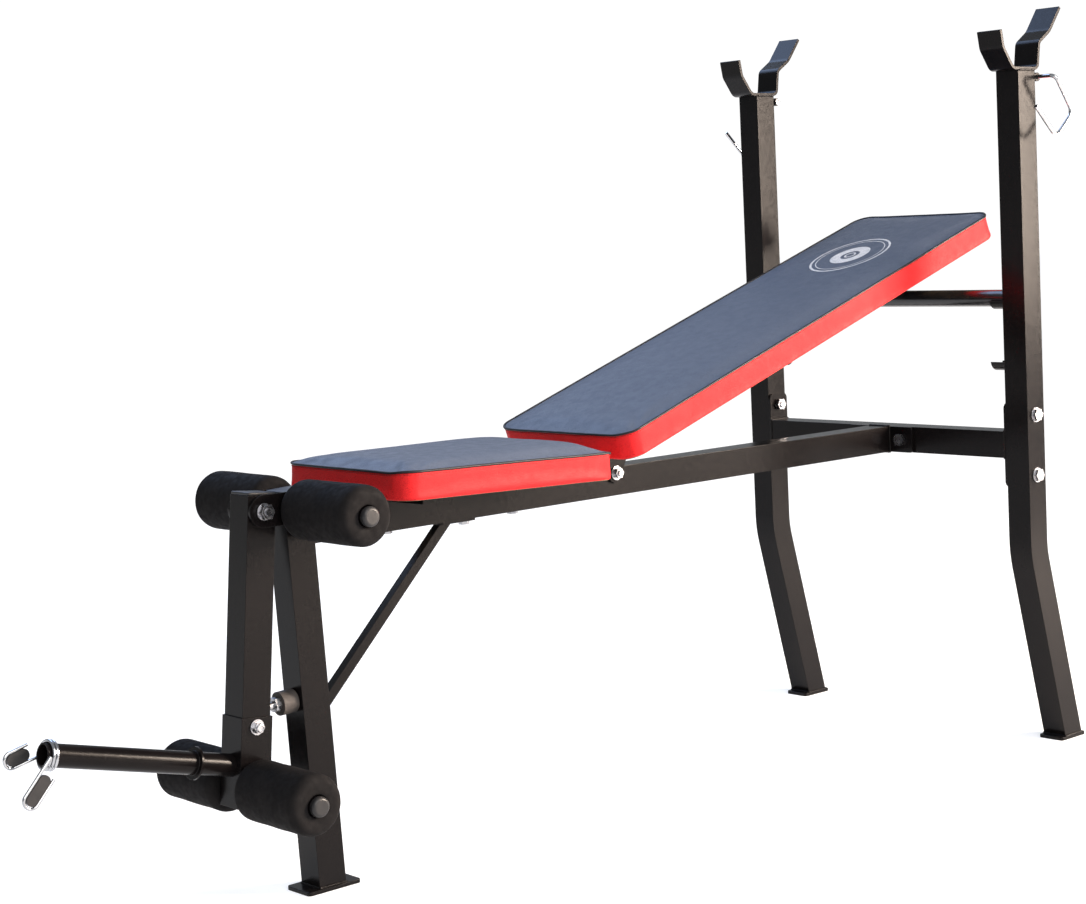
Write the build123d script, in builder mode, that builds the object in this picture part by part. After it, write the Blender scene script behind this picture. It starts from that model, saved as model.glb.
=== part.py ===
from build123d import *
import math
import os

os.makedirs("parts", exist_ok=True)

# Olympic bench press, millimetres. +Y runs along the bench from the leg end to the rack, +X is across it,
# +Z is up. The origin is the middle of the front foot plate's underside, on the floor.

# ---- driving dimensions ----
TUBE = 40  # square frame tube
WALL = 2
CLEAR = 0.05  # radial play of a bolt or shaft in its hole
PLATE = 5  # foot plates and rear flange

RACK_HALF = 262  # upright centre from the centre plane
RACK_Y = 1103  # front face of the uprights
UPRIGHT_TOP = 1010
BEND_Z = 295  # where the rear legs begin to slant back
REAR_SLOPE = 0.253  # rearward run per millimetre of drop
BEND_RADIUS = 160

FRAME_Z = 457  # axis height of the main tube and the crossbar
END_PLATE = 4
END_PLATE_LOW = 393
END_PLATE_HIGH = 520
FRAME_BOLT_PITCH = 90
FLANGE_HALF = 64
FLANGE_BOLT_X = 41

LEG_LEAN = 0.041  # forward lean of the front leg
LEG_TOP = 503

PIVOT_Y = -73  # leg developer hinge
PIVOT_Z = 486
ARM_LEAN = 0.101
ARM_WIDTH = TUBE - 0.8  # leaves 0.4 a side between the ears
EAR = 4.5
ARM_TOP = 19  # above the hinge, along the arm
ARM_BOTTOM = -360
SLEEVE_TOP = -250
SLEEVE_WALL = 2
CAP = 4

ROLLER_TUBE_R = 12.5
ROLLER_TUBE_WALL = 1.5
FOAM_R = 37.5
UPPER_ROLLER_Z = 483
UPPER_FOAM = (29, 164)  # inner and outer ends from the centre plane
LOWER_ROLLER_DROP = 337  # below the hinge, along the arm
LOWER_FOAM = (24.5, 153)

HORN_R = 14
HORN_TIP_Y = -374
HORN_TIP_Z = 242.5
HORN_RISE = 14.1  # degrees above level, towards the tip
HORN_STOP = 201.5  # from the tip to the stop washer
WIRE_R = 2
COIL_R = HORN_R + WIRE_R + 0.4
COIL_PITCH = 4.3
COIL_TURNS = 2.5
COIL_BACK = 2  # from the tip to the first turn

PAD_WIDTH = 276
PAD_CORNER = 30
BOARD = 12
BOARD_INSET = 5
SEAT_FRONT = 57
SEAT_LENGTH = 346
SEAT_FRONT_WIDTH = 264
SEAT_UNDER_Z = 488
SEAT_TILT = 1.7  # degrees, down towards the rack
SEAT_THICK = 38.5
SEAT_REAR_CORNER = 11

BACK_FRONT = 435.9  # lower front edge of the backrest
BACK_UNDER_Z = 497.1
BACK_TILT = 18.75
BACK_LENGTH = 850
BACK_THICK = 40
HINGE_Y = 508
HINGE_Z = 469
RAIL = 4
RAIL_GAP = 0.6  # between a rail and the main tube
RAIL_START = 45
RAIL_END = 772
RAIL_FLANGE = 24
RAIL_FLANGE_THICK = 3
LUG_R = 14

BAR_R = 12.75  # support bar
BAR_Y = RACK_Y + TUBE / 2
BAR_Z = 675.5
LOW_CUP_Z = 583.5
CUP_GAP = 0.4
CUP_WALL = 3.2
CUP_LENGTH = 28
CUP_LIP_DROP = 3  # lips end this far below the bar's axis

CRADLE = 4.5
CRADLE_WIDTH = 42
HOOK_R = 3
HOOK_Y = RACK_Y + TUBE + 6.5
HOOK_Z = 1000
HOOK_X = 314

BOLT_R = 5  # M10
SMALL_BOLT_R = 4  # M8

# ---- shared planes ----
tilt = math.radians(BACK_TILT)
back_along = (0, math.cos(tilt), math.sin(tilt))
back_normal = (0, -math.sin(tilt), math.cos(tilt))
back_plane = Plane(origin=(0, BACK_FRONT, BACK_UNDER_Z), x_dir=(1, 0, 0), z_dir=back_normal)

seat_slope = math.tan(math.radians(SEAT_TILT))
seat_plane = Plane(origin=(0, SEAT_FRONT, SEAT_UNDER_Z), x_dir=(1, 0, 0), z_dir=(0, seat_slope, 1))

leg_plane = Plane(origin=(0, 0, 0), x_dir=(1, 0, 0), z_dir=(0, -LEG_LEAN, 1))
arm_plane = Plane(origin=(0, PIVOT_Y, PIVOT_Z), x_dir=(1, 0, 0), z_dir=(0, ARM_LEAN, 1))

rise = math.radians(HORN_RISE)
horn_in = (0, math.cos(rise), -math.sin(rise))
horn_plane = Plane(origin=(0, HORN_TIP_Y, HORN_TIP_Z), x_dir=(1, 0, 0), z_dir=horn_in)

upper_roller_y = -LEG_LEAN * UPPER_ROLLER_Z
lower_roller = arm_plane.from_local_coords((0, 0, -LOWER_ROLLER_DROP))


def write(piece, node):
    """Label a finished piece and write it as its own STEP file."""
    piece.label = node
    export_step(piece, f"parts/{node}.step")


def across(x, y, z, side=1):
    """Plane facing +X (or -X for side=-1) at a point."""
    return Plane(origin=(x, y, z), x_dir=(0, side, 0), z_dir=(side, 0, 0))


def hexagons(planes, radius, flats, height):
    """Hex nuts standing on the planes."""
    with BuildPart() as nuts:
        for plane in planes:
            with BuildSketch(plane):
                RegularPolygon(flats / 2, 6, major_radius=False)
                Circle(radius + CLEAR, mode=Mode.SUBTRACT)
            extrude(amount=height)
    return nuts.part


def bolts(planes, radius, grip, flats, head):
    """Hex bolts: head below each plane, shank above it."""
    with BuildPart() as group:
        for plane in planes:
            with BuildSketch(plane):
                Circle(radius)
            extrude(amount=grip)
            with BuildSketch(plane):
                RegularPolygon(flats / 2, 6, major_radius=False)
            extrude(amount=-head)
    return group.part


def rings(planes, inner, outer, height):
    """Washers, bushes and other plain rings standing on the planes."""
    with BuildPart() as group:
        for plane in planes:
            with BuildSketch(plane):
                Circle(outer)
                Circle(inner, mode=Mode.SUBTRACT)
            extrude(amount=height)
    return group.part


def hollow_rectangle(width, depth, wall):
    """Draw a box section in the sketch that is open."""
    Rectangle(width, depth)
    Rectangle(width - 2 * wall, depth - 2 * wall, mode=Mode.SUBTRACT)


# ---- rack ----
foot_y = BAR_Y + REAR_SLOPE * BEND_Z
frame_bolt_heights = (FRAME_Z - FRAME_BOLT_PITCH / 2, FRAME_Z + FRAME_BOLT_PITCH / 2)

for side, sign in (("left", -1), ("right", 1)):
    post_x = sign * RACK_HALF
    inner_x = sign * (RACK_HALF - TUBE / 2)
    outer_x = sign * (RACK_HALF + TUBE / 2)

    with BuildPart() as upright:
        with BuildLine() as run:
            FilletPolyline(
                (post_x, BAR_Y, UPRIGHT_TOP), (post_x, BAR_Y, BEND_Z), (post_x, foot_y, 0), radius=BEND_RADIUS
            )
        with BuildSketch(Plane(origin=run.line @ 0, x_dir=(1, 0, 0), z_dir=(0, 0, -1))):
            hollow_rectangle(TUBE, TUBE, WALL)
        sweep(path=run.line)
        split(bisect_by=Plane.XY.offset(PLATE), keep=Keep.TOP)
        with Locations(*[across(outer_x, BAR_Y, z, sign) for z in frame_bolt_heights]):
            Hole(BOLT_R + CLEAR)
    write(upright.part, f"upright_{side}")

    with BuildPart() as cradle:
        with BuildSketch(Plane.YZ.offset(post_x - CRADLE_WIDTH / 2)):
            with BuildLine():
                FilletPolyline(
                    (RACK_Y - 39, UPRIGHT_TOP + 57),
                    (RACK_Y - 34, UPRIGHT_TOP + 32),
                    (RACK_Y - 12, UPRIGHT_TOP + CRADLE / 2),
                    (RACK_Y + 47, UPRIGHT_TOP + CRADLE / 2),
                    (RACK_Y + 52, UPRIGHT_TOP + 41),
                    (RACK_Y + 78, UPRIGHT_TOP + 58),
                    (RACK_Y + 105, UPRIGHT_TOP + 93),
                    radius=[16, 14, 9, 10, 26],
                )
            trace(line_width=CRADLE)
        extrude(amount=CRADLE_WIDTH)
        front_lip = cradle.faces().filter_by(GeomType.PLANE).sort_by(Axis.Y)
        fillet(front_lip[0].edges().filter_by(Axis.X), 1)
    write(cradle.part, f"bar_cradle_{side}")

    with BuildPart() as hook:
        hook_start = sign * (RACK_HALF - TUBE / 2 - 1)
        hook_x = sign * HOOK_X
        with BuildLine() as hook_run:
            FilletPolyline(
                (hook_start, HOOK_Y, HOOK_Z),
                (hook_x, HOOK_Y, HOOK_Z),
                (hook_x, HOOK_Y + 40, HOOK_Z - 54),
                (hook_x, HOOK_Y - 2, HOOK_Z - 90),
                (hook_x, HOOK_Y - 49, HOOK_Z - 45),
                radius=[9, 13, 13],
            )
        with BuildSketch(across(hook_start, HOOK_Y, HOOK_Z, sign)):
            Circle(HOOK_R)
        sweep(path=hook_run.line)
        with BuildSketch(across(hook_start, HOOK_Y, HOOK_Z, -sign)):
            Circle(5)
        extrude(amount=2.5)
    write(hook.part, f"bar_lock_hook_{side}")

post_inner = RACK_HALF - TUBE / 2

with BuildPart() as rear_feet:
    with BuildSketch(Plane.XY):
        with Locations((-RACK_HALF, foot_y - 3), (RACK_HALF, foot_y - 3)):
            RectangleRounded(44, 60, 5)
    extrude(amount=PLATE)
    fillet(rear_feet.faces().filter_by(Plane.XY).group_by(Axis.Z)[-1].edges(), 0.8)
write(rear_feet.part, "rear_feet")

with BuildPart() as end_plates:
    for sign in (-1, 1):
        with BuildSketch(across(sign * post_inner, BAR_Y, (END_PLATE_LOW + END_PLATE_HIGH) / 2, -sign)):
            RectangleRounded(TUBE, END_PLATE_HIGH - END_PLATE_LOW, 9)
        extrude(amount=END_PLATE)
    with Locations(*[across(0, BAR_Y, z) for z in frame_bolt_heights]):
        Hole(BOLT_R + CLEAR)
write(end_plates.part, "end_plates")

for level, cup_z in (("upper", BAR_Z), ("lower", LOW_CUP_Z)):
    with BuildPart() as cups:
        for sign in (-1, 1):
            with BuildSketch(across(sign * post_inner, BAR_Y, cup_z, -sign)):
                Circle(BAR_R + CUP_GAP + CUP_WALL)
                Circle(BAR_R + CUP_GAP, mode=Mode.SUBTRACT)
                with Locations((0, 20 - CUP_LIP_DROP)):
                    Rectangle(60, 40, mode=Mode.SUBTRACT)
            extrude(amount=CUP_LENGTH)
    write(cups.part, f"{level}_bar_cups")

bush_seats = [across(sign * post_inner, HOOK_Y, HOOK_Z, sign) for sign in (-1, 1)]
write(rings(bush_seats, HOOK_R + CLEAR, 6.4, TUBE), "hook_bushes")

with BuildPart() as crossbar:
    crossbar_half = RACK_HALF - TUBE / 2 - END_PLATE
    with BuildSketch(across(-crossbar_half, BAR_Y, FRAME_Z)):
        hollow_rectangle(TUBE, TUBE, WALL)
    extrude(amount=2 * crossbar_half)
    flange_bolts_front = [
        Plane(origin=(x, RACK_Y - PLATE, FRAME_Z), x_dir=(1, 0, 0), z_dir=(0, 1, 0))
        for x in (-FLANGE_BOLT_X, FLANGE_BOLT_X)
    ]
    with Locations(*flange_bolts_front):
        Hole(BOLT_R + CLEAR)
write(crossbar.part, "crossbar")

frame_bolt_heads = [
    across(s * (RACK_HALF + TUBE / 2), BAR_Y, z, -s) for s in (-1, 1) for z in frame_bolt_heights
]
write(bolts(frame_bolt_heads, BOLT_R, TUBE + END_PLATE + 10, 17, 6.4), "frame_bolts")
nut_seats = [across(s * (post_inner - END_PLATE), BAR_Y, z, -s) for s in (-1, 1) for z in frame_bolt_heights]

# ---- main tube, front leg and brace ----
leg_rear = leg_plane.from_local_coords((0, TUBE / 2, 0))
leg_rear_face = Plane(origin=leg_rear, x_dir=(1, 0, 0), z_dir=(0, 1, LEG_LEAN))

with BuildPart() as main_tube:
    with BuildSketch(Plane(origin=(0, -TUBE, FRAME_Z), x_dir=(1, 0, 0), z_dir=(0, 1, 0))):
        hollow_rectangle(TUBE, TUBE, WALL)
    extrude(amount=RACK_Y - PLATE + TUBE)
    split(bisect_by=leg_rear_face, keep=Keep.TOP)
    with Locations(across(0, HINGE_Y, HINGE_Z)):
        Hole(SMALL_BOLT_R + CLEAR)
write(main_tube.part, "main_tube")

with BuildPart() as rear_flange:
    with BuildSketch(Plane(origin=(0, RACK_Y - PLATE, FRAME_Z), x_dir=(1, 0, 0), z_dir=(0, 1, 0))):
        RectangleRounded(2 * FLANGE_HALF, TUBE, 4)
    extrude(amount=PLATE)
    with Locations(*flange_bolts_front):
        Hole(BOLT_R + CLEAR)
write(rear_flange.part, "rear_flange")
write(bolts(flange_bolts_front, BOLT_R, PLATE + TUBE + 10, 17, 6.4), "flange_bolts")
nut_seats += [plane.offset(PLATE + TUBE) for plane in flange_bolts_front]

with BuildPart() as front_leg:
    with BuildSketch(leg_plane.offset(-TUBE)):
        hollow_rectangle(TUBE, TUBE, WALL)
    extrude(amount=LEG_TOP + TUBE)
    split(bisect_by=Plane.XY.offset(PLATE), keep=Keep.TOP)
    with Locations(across(0, upper_roller_y, UPPER_ROLLER_Z)):
        Hole(ROLLER_TUBE_R + CLEAR)
write(front_leg.part, "front_leg")

with BuildPart() as leg_cap:
    with BuildSketch(leg_plane.offset(LEG_TOP)):
        RectangleRounded(TUBE, TUBE, 3)
    extrude(amount=CAP)
    fillet(leg_cap.faces().sort_by(Axis.Z)[-1].edges(), 1.5)
write(leg_cap.part, "front_leg_cap")

with BuildPart() as front_foot:
    with BuildSketch(Plane.XY):
        RectangleRounded(50, 80, 5)
    extrude(amount=PLATE)
    fillet(front_foot.faces().sort_by(Axis.Z)[-1].edges(), 0.8)
write(front_foot.part, "front_foot")

BRACE = 13
BRACE_LOW_Z = 228  # where the brace meets the leg
BRACE_HIGH_Y = 222  # where it meets the main tube
frame_under = FRAME_Z - TUBE / 2
with BuildPart() as brace:
    brace_low = leg_rear_face.origin.Y - LEG_LEAN * BRACE_LOW_Z
    low_end = Vector(0, brace_low, BRACE_LOW_Z)
    brace_run = Vector(0, BRACE_HIGH_Y, frame_under) - low_end
    with BuildSketch(Plane(origin=low_end - brace_run * 0.1, x_dir=(1, 0, 0), z_dir=brace_run)):
        Rectangle(BRACE, BRACE)
    extrude(amount=brace_run.length * 1.2)
    with BuildSketch(Plane.XY.offset(frame_under - RAIL)):
        with Locations((0, BRACE_HIGH_Y + 13)):
            RectangleRounded(26, 62, 6)
    extrude(amount=RAIL)
    split(bisect_by=leg_rear_face, keep=Keep.TOP)
    split(bisect_by=Plane.XY.offset(frame_under), keep=Keep.BOTTOM)
    brace_bolt_seat = Plane(origin=(0, BRACE_HIGH_Y + 32, frame_under - RAIL))
    with Locations(brace_bolt_seat):
        Hole(SMALL_BOLT_R + CLEAR, depth=RAIL)
write(brace.part, "brace")

# ---- leg developer hinge and upper rollers, fixed side ----
with BuildPart() as pivot_ears:
    for sign in (-1, 1):
        with BuildSketch(across(sign * TUBE / 2, PIVOT_Y, PIVOT_Z)):
            Circle(TUBE / 2)
            with Locations((-PIVOT_Y / 2, 0)):
                Rectangle(-PIVOT_Y, TUBE)
            Circle(BOLT_R + CLEAR, mode=Mode.SUBTRACT)
            with Locations((upper_roller_y - PIVOT_Y, UPPER_ROLLER_Z - PIVOT_Z)):
                Circle(ROLLER_TUBE_R + CLEAR, mode=Mode.SUBTRACT)
        extrude(amount=sign * EAR)
write(pivot_ears.part, "pivot_ears")

ear_outer = TUBE / 2 + EAR
write(bolts([across(-ear_outer, PIVOT_Y, PIVOT_Z)], BOLT_R, 2 * ear_outer + 12, 17, 6.4), "pivot_bolt")
write(rings([across(ear_outer, PIVOT_Y, PIVOT_Z)], BOLT_R + CLEAR, 10.5, 2), "pivot_washer")
nut_seats.append(across(ear_outer + 2, PIVOT_Y, PIVOT_Z))
write(hexagons(nut_seats, BOLT_R, 17, 8), "frame_nuts")


def roller_tube(centre_y, centre_z, foam_end):
    """Cross tube that carries a pair of foam rollers."""
    half = foam_end + 1
    inner = ROLLER_TUBE_R - ROLLER_TUBE_WALL
    return rings([across(-half, centre_y, centre_z)], inner, ROLLER_TUBE_R, 2 * half)


def roller_plugs(centre_y, centre_z, foam_end):
    """Domed plugs in both ends of a roller tube."""
    with BuildPart() as plugs:
        for sign in (-1, 1):
            seat = across(sign * (foam_end + 1), centre_y, centre_z, sign)
            with BuildSketch(seat):
                Circle(ROLLER_TUBE_R - ROLLER_TUBE_WALL)
            extrude(amount=-14)
            with BuildSketch(seat):
                Circle(ROLLER_TUBE_R)
            extrude(amount=7)
        fillet(plugs.faces().sort_by(Axis.X)[-1].edges(), 4.5)
        fillet(plugs.faces().sort_by(Axis.X)[0].edges(), 4.5)
    return plugs.part


def foam_roller(centre_y, centre_z, ends, sign):
    """One foam sleeve, rounded at both ends."""
    inner, outer = ends
    with BuildPart() as foam:
        with BuildSketch(across(sign * inner, centre_y, centre_z, sign)):
            Circle(FOAM_R)
        extrude(amount=outer - inner)
        fillet(foam.edges(), 11)
        with BuildSketch(across(sign * inner, centre_y, centre_z, sign)):
            Circle(ROLLER_TUBE_R + CLEAR)
        extrude(amount=outer - inner, mode=Mode.SUBTRACT)
    return foam.part


write(roller_tube(upper_roller_y, UPPER_ROLLER_Z, UPPER_FOAM[1]), "upper_roller_tube")
write(roller_plugs(upper_roller_y, UPPER_ROLLER_Z, UPPER_FOAM[1]), "upper_roller_plugs")
write(roller_tube(lower_roller.Y, lower_roller.Z, LOWER_FOAM[1]), "lower_roller_tube")
write(roller_plugs(lower_roller.Y, lower_roller.Z, LOWER_FOAM[1]), "lower_roller_plugs")
for side, sign in (("left", -1), ("right", 1)):
    write(foam_roller(upper_roller_y, UPPER_ROLLER_Z, UPPER_FOAM, sign), f"upper_foam_{side}")
    write(foam_roller(lower_roller.Y, lower_roller.Z, LOWER_FOAM, sign), f"lower_foam_{side}")

# ---- leg developer arm ----
sleeve_width = ARM_WIDTH + 2 * SLEEVE_WALL
sleeve_depth = TUBE + 2 * SLEEVE_WALL
arm_bolt_drop = -262
arm_rear = arm_plane.from_local_coords((0, TUBE / 2, 0))
arm_rear_face = Plane(origin=arm_rear, x_dir=(1, 0, 0), z_dir=(0, 1, -ARM_LEAN))
sleeve_front = arm_plane.from_local_coords((0, -sleeve_depth / 2, 0))
sleeve_front_face = Plane(origin=sleeve_front, x_dir=(1, 0, 0), z_dir=(0, -1, ARM_LEAN))
arm_bolt_at = arm_plane.from_local_coords((0, 0, arm_bolt_drop))

with BuildPart() as arm:
    with BuildSketch(arm_plane.offset(ARM_BOTTOM)):
        hollow_rectangle(ARM_WIDTH, TUBE, WALL)
    extrude(amount=ARM_TOP - ARM_BOTTOM)
    with Locations(across(0, PIVOT_Y, PIVOT_Z)):
        Hole(8)
    with Locations(across(0, lower_roller.Y, lower_roller.Z)):
        Hole(ROLLER_TUBE_R + CLEAR)
    with Locations(across(0, arm_bolt_at.Y, arm_bolt_at.Z)):
        Hole(SMALL_BOLT_R + CLEAR)
write(arm.part, "developer_arm")
write(rings([across(-ARM_WIDTH / 2, PIVOT_Y, PIVOT_Z)], BOLT_R + CLEAR, 8, ARM_WIDTH), "pivot_bush")

with BuildPart() as arm_cap:
    with BuildSketch(arm_plane.offset(ARM_TOP)):
        RectangleRounded(ARM_WIDTH, TUBE, 3)
    extrude(amount=CAP)
    fillet(arm_cap.faces().sort_by(Axis.Z)[-1].edges(), 1.5)
write(arm_cap.part, "developer_arm_cap")

with BuildPart() as sleeve:
    with BuildSketch(arm_plane.offset(ARM_BOTTOM - 1)):
        hollow_rectangle(sleeve_width, sleeve_depth, SLEEVE_WALL - CLEAR)
    extrude(amount=SLEEVE_TOP - ARM_BOTTOM + 1)
    with Locations(across(0, lower_roller.Y, lower_roller.Z)):
        Hole(ROLLER_TUBE_R + CLEAR)
    with Locations(across(0, arm_bolt_at.Y, arm_bolt_at.Z)):
        Hole(SMALL_BOLT_R + CLEAR)
write(sleeve.part, "developer_sleeve")

arm_bolt_head = across(-sleeve_width / 2, arm_bolt_at.Y, arm_bolt_at.Z)
write(bolts([arm_bolt_head], SMALL_BOLT_R, sleeve_width + 8, 13, 5.3), "developer_bolt")
arm_nut_seat = across(sleeve_width / 2, arm_bolt_at.Y, arm_bolt_at.Z)
write(hexagons([arm_nut_seat], SMALL_BOLT_R, 13, 6.5), "developer_nut")

with BuildPart() as horn:
    with BuildSketch(horn_plane):
        Circle(HORN_R)
        Circle(HORN_R - WALL, mode=Mode.SUBTRACT)
    extrude(amount=300)
    split(bisect_by=sleeve_front_face, keep=Keep.TOP)
write(horn.part, "plate_horn")
write(rings([horn_plane.offset(HORN_STOP)], HORN_R + CLEAR, 20, 3), "plate_stop")

BUMPER_Z = 242.5
BUMPER_END = 0.3  # left between the rubber and the leg
leg_front = leg_plane.from_local_coords((0, -TUBE / 2, BUMPER_Z + 2))
bumper_face = Plane(origin=leg_front, x_dir=(1, 0, 0), z_dir=(0, -1, -LEG_LEAN)).offset(BUMPER_END)
RUBBER = 22.5
with BuildPart() as bumper_rubber:
    with BuildSketch(bumper_face):
        Circle(15)
    extrude(amount=RUBBER)
    fillet(bumper_rubber.faces().sort_by(Axis.Y)[-1].edges(), 2)
write(bumper_rubber.part, "bumper_rubber")
write(hexagons([bumper_face.offset(RUBBER)], BOLT_R, 17, 8), "bumper_nut")
with BuildPart() as bumper_stud:
    with BuildSketch(bumper_face.offset(RUBBER)):
        Circle(BOLT_R)
    extrude(amount=60)
    split(bisect_by=arm_rear_face, keep=Keep.TOP)
write(bumper_stud.part, "bumper_stud")

# ---- spring collar on the horn ----
coil_plane = horn_plane.offset(COIL_BACK)
GRIP_WIDTH = 19  # between the two wires of a handle
handles = (
    (COIL_R, coil_plane.origin, -48, 1, 61),
    (-COIL_R, coil_plane.offset(COIL_PITCH * COIL_TURNS).origin, -13, -1, 50),
)


def handle_plane(base_x, base, heading, facing):
    """Plane of one wire handle: local X runs out along it, local Y across it, towards its second wire."""
    angle = math.radians(heading)
    return Plane(
        origin=(base_x, base.Y, base.Z), x_dir=(0, -math.cos(angle), math.sin(angle)), z_dir=(facing, 0, 0)
    )


# the coil runs round the tilted horn, so it is made upright and then laid on the horn's plane
coil_run = coil_plane * Helix(pitch=COIL_PITCH, height=COIL_PITCH * COIL_TURNS, radius=COIL_R)

with BuildPart() as collar_wire:
    with BuildSketch(Plane(origin=coil_run @ 0, z_dir=coil_run % 0)):
        Circle(WIRE_R)
    sweep(path=coil_run, is_frenet=True)
    for base_x, base, heading, facing, length in handles:
        plane = handle_plane(base_x, base, heading, facing)
        with BuildLine(plane) as handle_run:
            FilletPolyline(
                (0, 0),
                (length, 0),
                (length, GRIP_WIDTH),
                (18, GRIP_WIDTH),
                radius=GRIP_WIDTH / 2 - 0.5,
            )
        with BuildSketch(Plane(origin=plane.origin, x_dir=plane.z_dir, z_dir=plane.x_dir)):
            Circle(WIRE_R)
        sweep(path=handle_run.line)
write(collar_wire.part, "collar_wire")

with BuildPart() as collar_grips:
    for base_x, base, heading, facing, length in handles:
        with BuildSketch(handle_plane(base_x, base, heading, facing).offset(-2)):
            with Locations((length / 2 + 8, GRIP_WIDTH / 2)):
                RectangleRounded(length - 22, GRIP_WIDTH - 2 * WIRE_R - 0.2, 7)
        extrude(amount=4)
write(collar_grips.part, "collar_grips")

# ---- seat ----


def seat_outline(inset):
    """Seat shape seen from above, a little narrower at the leg end."""
    front = SEAT_FRONT_WIDTH / 2 - inset
    rear = PAD_WIDTH / 2 - inset
    far = SEAT_LENGTH - inset
    with BuildSketch(seat_plane) as outline:
        Polygon((-front, inset), (front, inset), (rear, far), (-rear, far), align=None)
        fillet(outline.vertices().sort_by(Axis.Y)[-2:], SEAT_REAR_CORNER - inset)
        fillet(outline.vertices().sort_by(Axis.Y)[:2], PAD_CORNER - inset)
    return outline.sketch


def back_outline(inset):
    """Backrest shape seen square on."""
    with BuildSketch(back_plane) as outline:
        with Locations((0, BACK_LENGTH / 2)):
            RectangleRounded(PAD_WIDTH - 2 * inset, BACK_LENGTH - 2 * inset, PAD_CORNER - inset)
    return outline.sketch


def cushion(outline, normal, thickness):
    """Upholstered pad wrapped over its board, which sits in the underside."""
    with BuildPart() as pad:
        extrude(outline(0), amount=thickness, dir=normal)
        fillet(pad.faces().sort_by(Axis(origin=(0, 0, 0), direction=normal))[-1].edges(), 9)
        extrude(outline(BOARD_INSET), amount=BOARD, dir=normal, mode=Mode.SUBTRACT)
    return pad.part


def board(outline, normal):
    """Plywood board under a cushion."""
    with BuildPart() as panel:
        extrude(outline(BOARD_INSET), amount=BOARD, dir=normal)
    return panel.part


write(cushion(seat_outline, seat_plane.z_dir, SEAT_THICK), "seat_cushion")
write(board(seat_outline, seat_plane.z_dir), "seat_board")

frame_top = FRAME_Z + TUBE / 2
seat_supports = (("front", SEAT_FRONT + 70), ("rear", SEAT_FRONT + SEAT_LENGTH - 65))
for place, support_y in seat_supports:
    with BuildPart() as support:
        with BuildSketch(Plane.YZ.offset(-100)):
            near_y = support_y - 16
            far_y = support_y + 16
            Polygon(
                (near_y, frame_top),
                (far_y, frame_top),
                (far_y, SEAT_UNDER_Z - seat_slope * (far_y - SEAT_FRONT)),
                (near_y, SEAT_UNDER_Z - seat_slope * (near_y - SEAT_FRONT)),
                align=None,
            )
        extrude(amount=200)
    write(support.part, f"seat_support_{place}")

# ---- backrest ----
write(cushion(back_outline, back_plane.z_dir, BACK_THICK), "back_cushion")
write(board(back_outline, back_plane.z_dir), "back_board")

bar_depth = -back_plane.to_local_coords(Vector(0, BAR_Y, BAR_Z)).Z
rail_depth = bar_depth - BAR_R - 0.3  # the rails rest on the support bar
hinge_local = back_plane.to_local_coords(Vector(0, HINGE_Y, HINGE_Z))
rail_inner = TUBE / 2 + RAIL_GAP

for side, sign in (("left", -1), ("right", 1)):
    with BuildPart() as rail:
        rail_origin = Vector(sign * rail_inner, BACK_FRONT, BACK_UNDER_Z)
        with BuildSketch(Plane(origin=rail_origin, x_dir=back_along, z_dir=(1, 0, 0))):
            Polygon(
                (RAIL_START, 0),
                (RAIL_START, hinge_local.Z),
                (hinge_local.Y + LUG_R, hinge_local.Z),
                (hinge_local.Y + LUG_R + 12, -rail_depth),
                (RAIL_END - 16, -rail_depth),
                (RAIL_END, -rail_depth + 16),
                (RAIL_END, 0),
                align=None,
            )
            with Locations((hinge_local.Y, hinge_local.Z)):
                Circle(LUG_R)
                Circle(SMALL_BOLT_R + CLEAR, mode=Mode.SUBTRACT)
        extrude(amount=sign * RAIL)
        with BuildSketch(back_plane):
            with Locations((sign * (rail_inner + RAIL_FLANGE / 2), (RAIL_START + RAIL_END) / 2)):
                Rectangle(RAIL_FLANGE, RAIL_END - RAIL_START)
        extrude(amount=-RAIL_FLANGE_THICK)
    write(rail.part, f"back_rail_{side}")

screw_rows = (RAIL_START + 40, 290, 530, RAIL_END - 30)
screw_places = [(s * (rail_inner + 14), along) for s in (-1, 1) for along in screw_rows]
with BuildPart() as back_screws:
    with BuildSketch(back_plane.offset(-RAIL_FLANGE_THICK)):
        with Locations(*screw_places):
            Circle(5)
    extrude(amount=-2.6)
write(back_screws.part, "back_screws")

rail_outer = rail_inner + RAIL + 0.3
hinge_head = across(-rail_outer - 1.6, HINGE_Y, HINGE_Z)
write(bolts([hinge_head], SMALL_BOLT_R, 2 * rail_outer + 1.6 + 11, 13, 5.3), "hinge_bolt")
hinge_washers = [across(s * rail_outer, HINGE_Y, HINGE_Z, s) for s in (-1, 1)]
write(rings(hinge_washers, SMALL_BOLT_R + CLEAR, 10, 1.6), "hinge_washers")
write(hexagons([across(rail_outer + 1.6, HINGE_Y, HINGE_Z)], SMALL_BOLT_R, 13, 6.5), "hinge_nut")

under_bolt_seats = [Plane(origin=(0, support_y, frame_under)) for _, support_y in seat_supports]
under_bolt_seats.append(brace_bolt_seat)
with BuildPart() as under_bolts:
    for plane in under_bolt_seats:
        with BuildSketch(plane):
            RegularPolygon(13 / 2, 6, major_radius=False)
        extrude(amount=-5.3)
write(under_bolts.part, "under_bolts")

# ---- support bar ----
bar_half = RACK_HALF - TUBE / 2 - 0.5
write(rings([across(-bar_half, BAR_Y, BAR_Z)], BAR_R - WALL, BAR_R, 2 * bar_half), "support_bar")
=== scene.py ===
"""Look of the olympic bench press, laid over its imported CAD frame. Metres, +Z up, same frame as the CAD."""
import math

import bmesh
import bpy
from mathutils import Matrix, Vector, noise
from mathutils.bvhtree import BVHTree


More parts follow.
